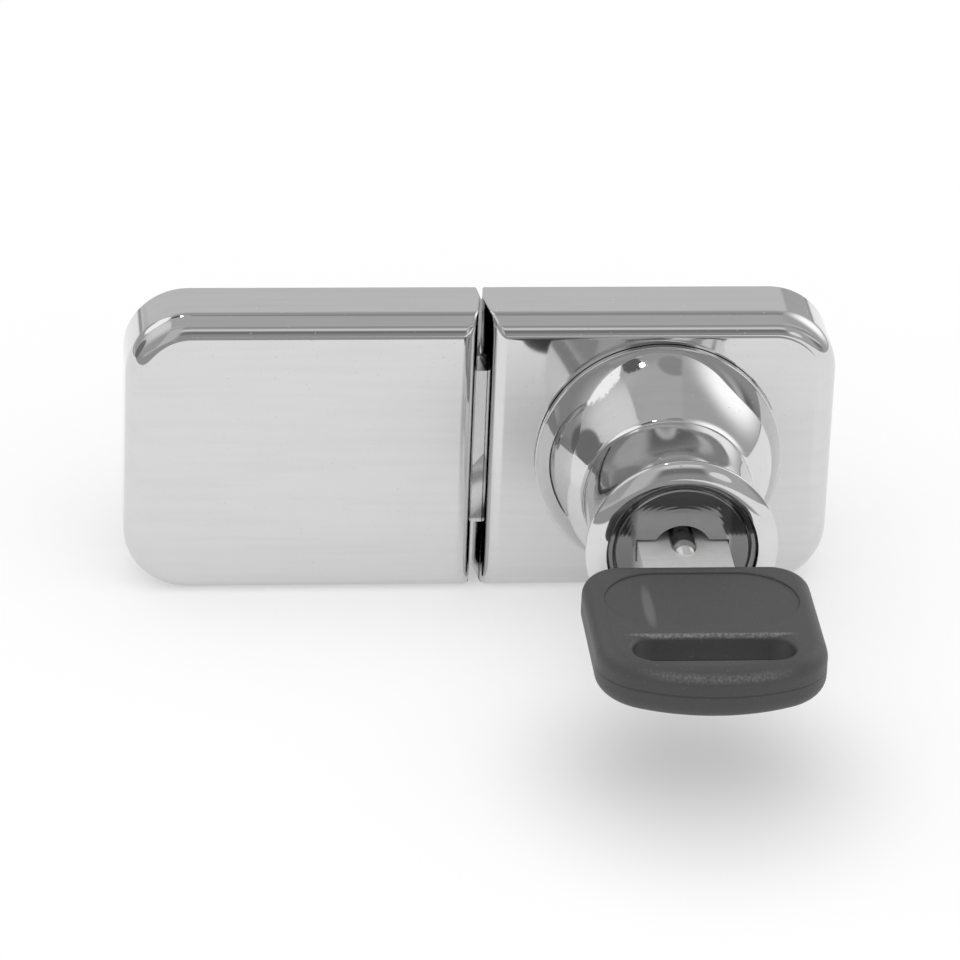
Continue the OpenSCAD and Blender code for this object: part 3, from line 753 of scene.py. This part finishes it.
class LOCK_OT_escutcheon(bpy.types.Operator):
    """Models the ball-shaped escutcheon with its hollow neck and flared rim"""

    bl_idname = "lock.escutcheon"
    bl_label = "Model the escutcheon"

    def execute(self, context):
        sizes = context.scene.lock_sizes
        low, high = box_mm("escutcheon")
        foot, rim = high.x, -low.y
        base = -high.y
        hub = base + mm(sizes.dome_foot)
        lean = sizes.dome_lean
        ball, reach = (foot - mm(sizes.dome_step)) / math.cos(lean), mm(sizes.dome_reach)
        middle = hub - reach * math.sin(lean)
        neck, hollow = mm(sizes.neck), mm(sizes.hollow)
        lip, round_off = mm(sizes.rim), mm(sizes.rim_round)
        bore, recess, recess_top, chamfer = 6.86, 7.91, base + 1.46, 0.12
        start, tilt = self.ball_end(ball, reach, neck, hollow)
        waist = middle + reach * math.sin(start) + hollow * math.sin(tilt)
        inner, outer = math.radians(7), math.radians(32)
        land = lip - round_off * (1 - math.sin(outer)) - bore - 0.05
        crown = land / (math.sin(outer) - math.sin(inner))
        edge = rim - crown * (math.cos(inner) - math.cos(outer)) - round_off * math.cos(outer)
        run, rise = edge - waist, lip - neck
        flare = (run * run + rise * rise) / (2 * rise)
        stroke = Stroke("escutcheon_dome", foot - chamfer, base)
        stroke.line(foot, base + chamfer)
        stroke.line(foot, hub - 0.15)
        stroke.line(foot - 0.05, hub - 0.1)
        stroke.line(ball * math.cos(lean) + 0.03, hub - 0.1)
        ball_steps = 40
        for step in range(ball_steps + 1):
            angle = lean + (start - lean) * step / ball_steps
            stroke.line(ball * math.cos(angle), middle + reach * math.sin(angle))
        stroke.arc(neck + hollow, waist, -math.degrees(tilt), 20)
        stroke.arc(neck + flare, waist, -math.degrees(math.asin(run / flare)), 24)
        stroke.arc(lip - round_off, edge, 90 - math.degrees(outer), 8)
        stroke.arc(bore + 0.05 - crown * math.sin(inner), rim - crown * math.cos(inner),
                   math.degrees(outer - inner), 12)
        stroke.line(bore, rim - 0.08)
        stroke.line(bore, recess_top)
        stroke.line(recess, recess_top)
        stroke.line(recess, base)
        stroke.line(foot - chamfer, base)
        dome = stroke.spin(192)
        for side in (-1, 1):
            hole = drum("screw_hole", 0, side * DOME_SCREW_Z, 1 - base, -base - 2.8, TAPPED_RADIUS, sides=32)
            cut(dome, hole)
        settle(dome, finish(context, "chrome"), "base", "escutcheon", 40)
        return {"FINISHED"}

    def ball_end(self, ball, reach, neck, hollow):
        """Where the long ball meets the hollow: the angle along the ball and the slope there."""
        low, high = 0.0, math.pi / 2
        for _ in range(60):
            angle = (low + high) / 2
            slope = math.atan2(math.sin(angle) / reach, math.cos(angle) / ball)
            if ball * math.cos(angle) + hollow * math.cos(slope) > neck + hollow:
                low = angle
            else:
                high = angle
        return angle, slope


class LOCK_OT_bolt(bpy.types.Operator):
    """Models the sliding bolt with its tall nose, lower tail and slot for the drive pin"""

    bl_idname = "lock.bolt"
    bl_label = "Model the bolt"

    def execute(self, context):
        low, high = box_mm("bolt")
        shoulder, tail, nose_cut = -9.55, 6.79, 0.707
        bar = block("bolt_bar", low, (shoulder, high.y, high.z))
        edit(bar)
        pick("EDGE", lambda e: along(e, 1) and level(e, 0, low.x))
        round_picked(nose_cut, 1)
        cut(bar, block("tail", (shoulder - 0.02, low.y, -tail), (high.x, high.y, tail)), "UNION")
        cut(bar, block("pin_slot", (-4.4, low.y - 1, 1.6), (-1.6, high.y + 1, 5.643)))
        soften(bar, 0.16)
        settle(bar, finish(context, "bolt"), "bolt", "bolt")
        return {"FINISHED"}


class LOCK_OT_brackets(bpy.types.Operator):
    """Models the two bent clamp brackets with their back plates and rear jaws"""

    bl_idname = "lock.brackets"
    bl_label = "Model the brackets"

    def execute(self, context):
        low, high = box_mm("lock_bracket")
        gap = (box_mm("lock_case")[0].x + box_mm("strike_case")[1].x) / 2
        thick, jaw, jaw_thick, jaw_length = 1.6, 7.5, 3.2, 25.0
        plate_end = low.y + thick
        web = block("lock_bracket_bent", (low.x, low.y, -jaw), (low.x + thick, high.y, jaw))
        edit(web)
        bpy.ops.mesh.select_all(action="SELECT")
        bpy.ops.mesh.bisect(plane_co=(0, high.y - jaw_thick, 0), plane_no=(0, 1, 0))
        pick("FACE", lambda f: f.normal.x > 0.9 and f.calc_center_median().y > high.y - jaw_thick)
        bpy.ops.mesh.extrude_region_move(TRANSFORM_OT_translate={"value": (jaw_length - thick, 0, 0)})
        pick("EDGE", lambda e: along(e, 2) and level(e, 0, low.x) and level(e, 1, high.y))
        round_picked(1.5, 10)
        end = low.x + jaw_length
        pick("EDGE", lambda e: along(e, 1) and level(e, 0, end))
        round_picked(3.0, 12)
        plate = block("plate", (low.x + 1.8, low.y, low.z), (high.x, plate_end, high.z))
        edit(plate)
        pick("EDGE", lambda e: along(e, 1) and level(e, 0, high.x))
        round_picked(3.9, 12)
        bridge = block("bridge", (low.x + 0.4, low.y, -jaw), (low.x + 3, plate_end, jaw))
        cut(plate, bridge, "UNION")
        cut(web, plate, "UNION")
        soften(web, 0.15)
        for x in GRUB_X:
            cut(web, drum("grub_hole", x, 0, high.y + 1, high.y - 4.2, 2.05, sides=48))
        for x, z in ((-11.85, 10.0), (11.75, 9.2)):
            for side in (-1, 1):
                sink = (plate_end + 0.19, plate_end - 0.95, 1.95, TAPPED_RADIUS)
                cut(web, drum("countersink", x, side * z, *sink, 48))
                cut(web, drum("shank_hole", x, side * z, plate_end - 0.5, low.y - 1, TAPPED_RADIUS, sides=48))
        twin = copy_of(web, "strike_bracket_bent")
        turn_over(twin, gap)
        steel = finish(context, "bracket")
        settle(web, steel, "base", "lock_bracket")
        settle(twin, steel, "base", "strike_bracket")
        return {"FINISHED"}


class LOCK_OT_grub_screws(bpy.types.Operator):
    """Models the four threaded grub screws with their hexagon sockets"""

    bl_idname = "lock.grub_screws"
    bl_label = "Model the grub screws"

    def execute(self, context):
        low, high = box_mm("lock_grub_screws")
        gap = (box_mm("lock_case")[0].x + box_mm("strike_case")[1].x) / 2
        radius = high.z
        pitch, root = 0.7, 0.4
        stroke = Stroke("lock_grub_screws_threaded", radius - root, -low.y + 2 * pitch)
        for step, depth in ((0.12, root), (0.3, 0.02), (0.4, 0.02), (0.58, root), (pitch, root)):
            stroke.line(radius - depth, -low.y + 2 * pitch - step)
        screw = stroke.piece
        take(screw)
        change = screw.modifiers.new("thread", "SCREW")
        change.axis = "Y"
        change.screw_offset = pitch
        change.iterations = 12
        change.steps = change.render_steps = 32
        change.use_merge_vertices = True
        bpy.ops.object.modifier_apply(modifier="thread")
        edit(screw)
        for y, way in ((low.y, -1), (high.y, 1)):
            bpy.ops.mesh.select_all(action="SELECT")
            bpy.ops.mesh.bisect(plane_co=(0, y, 0), plane_no=(0, way, 0), use_fill=True, clear_outer=True)
        bpy.ops.mesh.select_all(action="SELECT")
        bpy.ops.mesh.remove_doubles(threshold=0.0005)
        bpy.ops.mesh.select_all(action="SELECT")
        bpy.ops.mesh.normals_make_consistent(inside=False)
        ends = drum("ends", 0, 0, high.y, low.y, radius)
        edit(ends)
        pick("EDGE", lambda e: level(e, 1, high.y) or level(e, 1, low.y))
        round_picked(0.35, 1)
        cut(screw, ends, "INTERSECT")
        cut(screw, drum("socket", 0, 0, high.y + 1, high.y - 2, 1.0, sides=6))
        steel = finish(context, "screw")
        for half in ("lock", "strike"):
            node = half + "_grub_screws"
            for number, x in enumerate(GRUB_X):
                twin = copy_of(screw, node + "_threaded_" + str(number + 1))
                edit(twin)
                bpy.ops.mesh.select_all(action="SELECT")
                move_picked(x=x if half == "lock" else 2 * gap - x)
                settle(twin, steel, half + "_clamp", node)
        bpy.data.meshes.remove(screw.data)
        return {"FINISHED"}


class LOCK_OT_pads(bpy.types.Operator):
    """Models the rubber pads that lie on both sides of the glass"""

    bl_idname = "lock.pads"
    bl_label = "Model the pads"

    def execute(self, context):
        skin = finish(context, "pad")
        for half in ("lock", "strike"):
            node = half + "_front_pad"
            low, high = box_mm(node)
            far = high.x if half == "lock" else low.x
            pad = block(node + "_skin", low, high)
            edit(pad)
            pick("EDGE", lambda e: along(e, 1) and level(e, 0, far))
            round_picked(4.8, 12)
            soften(pad, 0.14)
            settle(pad, skin, "base", node)
            node = half + "_pressure_pad"
            low, high = box_mm(node)
            pad = block(node + "_skin", low, high)
            edit(pad)
            pick("EDGE", lambda e: along(e, 1))
            round_picked(2.0, 10)
            soften(pad, 0.22, 3)
            settle(pad, skin, half + "_clamp", node)
        return {"FINISHED"}


class LOCK_OT_key(bpy.types.Operator):
    """Models the key: the notched blade with its rib and the plastic bow"""

    bl_idname = "lock.key"
    bl_label = "Model the key"

    def execute(self, context):
        sizes = context.scene.lock_sizes
        settle(self.blade(), finish(context, "blade"), "key", "key_blade")
        settle(self.bow(sizes), finish(context, "bow"), "key", "key_bow", 50)
        return {"FINISHED"}

    def blade(self):
        low, high = box_mm("key_blade")
        half, thick = high.x, -low.z
        rib_start, rib_radius, rib_height = -28.45, 1.3, thick - 0.45
        tip = math.radians(35)
        first_notch, pitch = -24.65, 2.2
        notch_floor, notch_mouth = 0.35, 1.7
        blade = block("key_blade_notched", (-half, low.y, -thick), (half, high.y, thick))
        edit(blade)
        for side in (-1, 1):
            bpy.ops.mesh.select_all(action="SELECT")
            bpy.ops.mesh.bisect(
                plane_co=(side * (half - 2.4), high.y, 0),
                plane_no=(side * math.sin(tip), math.cos(tip), 0), use_fill=True, clear_outer=True)
        notch = block("notch", (0, -notch_floor, -3), (2, notch_floor, 3))
        edit(notch)
        pick("VERT", lambda v: level(v, 0, 2))
        bpy.ops.transform.resize(value=(1, notch_mouth / notch_floor, 1), center_override=(2, 0, 0))
        for number, depth in enumerate((0.7, 0.35, 0.9, 0.5, 0.75)):
            for side in (-1, 1):
                tool = copy_of(notch, "notch_copy")
                edit(tool)
                bpy.ops.mesh.select_all(action="SELECT")
                move_picked(x=half - depth, y=first_notch + pitch * number)
                if side < 0:
                    turn_over(tool, 0)
                cut(blade, tool)
        bpy.data.meshes.remove(notch.data)
        rib = drum("rib", 0, rib_height, high.y, rib_start, rib_radius, sides=48)
        edit(rib)
        pick("FACE", lambda f: level(f, 1, rib_start))
        for reach, width in ((0.5, 0.93), (0.45, 0.85), (0.4, 0.75), (0.3, 0.6), (0.2, 0.4)):
            bpy.ops.mesh.extrude_region_move(TRANSFORM_OT_translate={"value": (0, -reach, 0)})
            bpy.ops.transform.resize(value=(width, 1, width), center_override=(0, 0, rib_height))
        cut(blade, rib, "UNION")
        soften(blade, 0.1)
        return blade

    def bow(self, sizes):
        low, high = box_mm("key_bow")
        rear, front, top = high.y, low.y, high.z
        panel = ("panel", -41.25, 8.6, 5.1, top - 0.2, top, 0.16)
        half, rear_round, front_round, arch = high.x, 3.6, 5.5, 16.5
        hub = -front - arch
        across = half - front_round
        depth = math.sqrt((arch - front_round) ** 2 - across ** 2)
        swing = math.degrees(math.atan2(depth, across))
        stroke = Stroke("key_bow_moulded", rear_round - half, -rear)
        stroke.line(half - rear_round, -rear)
        stroke.arc(half - rear_round, rear_round - rear, 90, 14)
        stroke.line(half, hub + depth)
        stroke.arc(across, hub + depth, swing, 14)
        stroke.arc(0, hub, 180 - 2 * swing, 22)
        stroke.arc(-across, hub + depth, swing, 14)
        stroke.line(-half, rear_round - rear)
        stroke.arc(rear_round - half, rear_round - rear, 90, 14)
        bow = stroke.raise_plate(low.z, top)
        pick("EDGE", lambda e: level(e, 2, top) or level(e, 2, low.z))
        round_picked(mm(sizes.bow_edge), 10)
        cut(bow, self.stadium("slot", BOW_SLOT_Y, 7.1, 2.15, low.z, top, 0.55, True))
        cut(bow, self.stadium(*panel))
        under = self.stadium(*panel)
        edit(under)
        bpy.ops.mesh.select_all(action="SELECT")
        bpy.ops.transform.resize(value=(1, 1, -1), center_override=(0, 0, 0))
        bpy.ops.mesh.normals_make_consistent(inside=False)
        cut(bow, under)
        cut(bow, block("tang_room", (-4.13, rear - 9.03, -0.93), (4.13, rear + 1, 0.93)))
        return bow

    def stadium(self, name, y, reach, radius, low, high, rim, both_ends=False):
        """A long round-ended tool that flares at its rim, so that the edge it leaves is rounded."""
        core = reach - radius
        tool = block(name, (-reach, y - radius, low), (reach, y + radius, high))
        edit(tool)
        pick("EDGE", lambda e: along(e, 2))
        round_picked(radius - 0.001, 20)
        for z, way in ((high, 1), (low, -1)) if both_ends else ((high, 1),):
            pick("FACE", lambda f: level(f, 2, z))
            bpy.ops.mesh.extrude_region_move(TRANSFORM_OT_translate={"value": (0, 0, 0)})
            wider = ((reach + rim) / reach, (radius + rim) / radius, 1)
            bpy.ops.transform.resize(value=wider, center_override=(0, y, z))
            bpy.ops.mesh.extrude_region_move(TRANSFORM_OT_translate={"value": (0, 0, way)})
            pick("EDGE", lambda e: level(e, 2, z) and all(
                math.hypot(max(0.0, abs(v.co.x) - core), v.co.y - y) < radius + 0.01 for v in e.verts))
            round_picked(rim * 0.95, 6)
        return tool


class LOCK_OT_inner_pieces(bpy.types.Operator):
    """Gives the cylinder's and the clamps' inner pieces their finishes"""

    bl_idname = "lock.inner_pieces"
    bl_label = "Finish the inner pieces"

    def execute(self, context):
        groups = {
            "plug": ["plug", "cylinder_shell"],
            "wafer": ["wafers_right", "wafers_left"],
            "brass": ["drive_cam"],
            "screw": ["escutcheon_screws", "cam_screw", "wafer_springs_right", "wafer_springs_left",
                      "lock_bracket_screws", "strike_bracket_screws"],
        }
        for name, nodes in groups.items():
            for node in nodes:
                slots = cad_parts[node].data.materials
                slots.clear()
                slots.append(finish(context, name))
        return {"FINISHED"}


class LOCK_OT_stage(bpy.types.Operator):
    """Sets up the floor, the studio's light and the camera"""

    bl_idname = "lock.stage"
    bl_label = "Set the stage"

    def execute(self, context):
        scene = context.scene
        studio = scene.lock_studio
        self.lay_floor()
        self.light_studio(scene, studio)
        self.set_camera(scene, studio)
        scene.view_settings.view_transform = "Standard"
        return {"FINISHED"}

    def lay_floor(self):
        bpy.ops.object.select_all(action="DESELECT")
        lowest = CAD_BOX[0][2]
        bpy.ops.mesh.primitive_circle_add(vertices=96, radius=4.0, fill_type="NGON", location=(0, 0, lowest))
        floor = bpy.context.object
        floor.name = "floor"
        floor.data.transform(Matrix.Translation(floor.location))
        floor.location = (0, 0, 0)
        floor.data.materials.append(floor_paper("floor_paper", 0.65, 0.4))

    def light_studio(self, scene, studio):
        world = bpy.data.worlds.new("studio")
        scene.world = world
        world.use_nodes = True
        shop = Shop(world.node_tree)
        way = shop.add("TexCoord", out="Generated")
        x, y, z = shop.parts(way)

        def toward(direction):
            length = math.sqrt(sum(c * c for c in direction))
            a, b, c = (part / length for part in direction)
            return (x * a + y * b) + z * c

        def within(nearness, outer, inner):
            return nearness.smooth(math.cos(math.radians(outer)), math.cos(math.radians(inner)))

        def disc(direction, outer, inner):
            return within(toward(direction), outer, inner)

        def over(level, mask, below):
            return below + (level - below) * mask

        leftward, frontward = x * -1.0, y * -1.0
        # Bands of grey from the front horizon over the top to the rear one: degrees and level
        arch = z.maths("ARCTAN2", z, frontward) / math.pi
        bands = [(0, 0.37), (10, 0.36), (15, 0.28), (18, 0.22), (26, 0.22), (30, 0.6), (33, 0.82),
                 (37, 0.82), (41, 0.5), (46, 0.36), (52, 0.36), (56, 0.6), (63, 0.6), (69, 0.38),
                 (88, 0.38), (100, 0.58), (112, 0.58), (124, 0.43), (136, 0.43), (150, 0.67), (180, 0.67)]
        stops = [(angle / 180, grey(level)) for angle, level in bands]
        room = shop.add("ValToRGB", {"stops": stops}, {0: arch})
        torn = shop.noise(way, 14.0, 4.0, 0.7) - 0.5
        # Even light overhead with a darker corner
        room = over(0.52, disc((0.0, -0.1, 1.0), 40, 20), room)
        room = over(0.34, disc((0.19, 0.47, 0.86), 11, 8), room)
        # Pale walls to the left and right of the camera, and a small light on the right one
        room = over(0.62, leftward.smooth(0.08, 0.2) * frontward.smooth(0.5, 0.7), room)
        room = over(0.50, x.smooth(0.26, 0.34) * frontward.smooth(0.5, 0.7), room)
        room = over(0.95, disc((0.43, -0.86, 0.27), 7, 6), room)
        # Soft light from the left, with something dark low down
        left = disc((-0.66, -0.09, 0.75), 40, 0)
        room = over(0.44 + left * 0.42, leftward.smooth(0.40, 0.44) * z.smooth(0.0, 0.1), room)
        room = over(0.20, disc((-0.98, -0.05, 0.19), 16, 12), room)
        # Stronger soft light from the right
        right = disc((0.75, 0.48, 0.46), 46, 0)
        room = over(0.48 + right ** 5.0, x.smooth(0.27, 0.31) * y.smooth(-0.3, -0.22), room)
        # Window with a ragged edge, a dark curtain beside it and a small lamp
        room = over(1.25, within(toward((-0.59, 0.56, 0.58)) + torn * 0.08, 18, 17), room)
        room = over(0.14, within(toward((-0.25, 0.53, 0.81)) + torn * 0.02, 7, 6.5), room)
        room = room + disc((-0.15, 0.50, 0.85), 1.8, 1.4) * 30.0
        # What dull surfaces get: a plain sky, brighter overhead and in front
        above = z.most(0.0)
        sky = (0.44 + above * above * 1.12 - y * 0.4 - x * 0.1) * studio.fill
        strength = over(room, seen_directly(shop)[0], sky.most(0.0))
        light = shop.add("Background", None, {"Color": grey(1.0), "Strength": strength})
        node = world.node_tree.nodes.new("ShaderNodeOutputWorld")
        world.node_tree.links.new(light.socket, node.inputs["Surface"])

    def set_camera(self, scene, studio):
        camera = bpy.data.objects.new("camera", bpy.data.cameras.new("camera"))
        scene.collection.objects.link(camera)
        camera.data.sensor_width = 36.0
        camera.data.sensor_fit = "HORIZONTAL"
        camera.data.lens = studio.lens
        camera.data.clip_start = 0.01
        back = Vector((
            math.sin(studio.yaw) * math.cos(studio.pitch),
            -math.cos(studio.yaw) * math.cos(studio.pitch),
            math.sin(studio.pitch)))
        right = Vector((math.cos(studio.yaw), math.sin(studio.yaw), 0.0))
        up = back.cross(right)
        lean = Matrix.Rotation(studio.roll, 3, back)
        turn = Matrix((lean @ right, lean @ up, back)).transposed()
        camera.matrix_world = Matrix.Translation(studio.stand) @ turn.to_4x4()
        scene.camera = camera


class LOCK_PT_panel(bpy.types.Panel):
    """Lists the lock's sizes, colours and pieces"""

    bl_idname = "LOCK_PT_panel"
    bl_label = "Door lock"
    bl_space_type = "VIEW_3D"
    bl_region_type = "UI"
    bl_category = "Door lock"

    def draw(self, context):
        for group in (context.scene.lock_sizes, context.scene.lock_looks, context.scene.lock_studio):
            box = self.layout.box()
            for name in group.__annotations__:
                box.prop(group, name)
        for step in STEPS:
            self.layout.operator(step.bl_idname)


STEPS = [LOCK_OT_cases, LOCK_OT_escutcheon, LOCK_OT_bolt, LOCK_OT_brackets, LOCK_OT_grub_screws,
         LOCK_OT_pads, LOCK_OT_key, LOCK_OT_inner_pieces, LOCK_OT_stage]
CLASSES = [LockSizes, LockLooks, LockStudio, *STEPS, LOCK_PT_panel]


def register():
    for cls in CLASSES:
        bpy.utils.register_class(cls)
    bpy.types.Scene.lock_sizes = PointerProperty(type=LockSizes)
    bpy.types.Scene.lock_looks = PointerProperty(type=LockLooks)
    bpy.types.Scene.lock_studio = PointerProperty(type=LockStudio)


def unregister():
    del bpy.types.Scene.lock_studio
    del bpy.types.Scene.lock_looks
    del bpy.types.Scene.lock_sizes
    for cls in reversed(CLASSES):
        bpy.utils.unregister_class(cls)


def main():
    register()
    for step in STEPS:
        group, name = step.bl_idname.split(".")
        getattr(getattr(bpy.ops, group), name)()


if __name__ == "__main__":
    main()
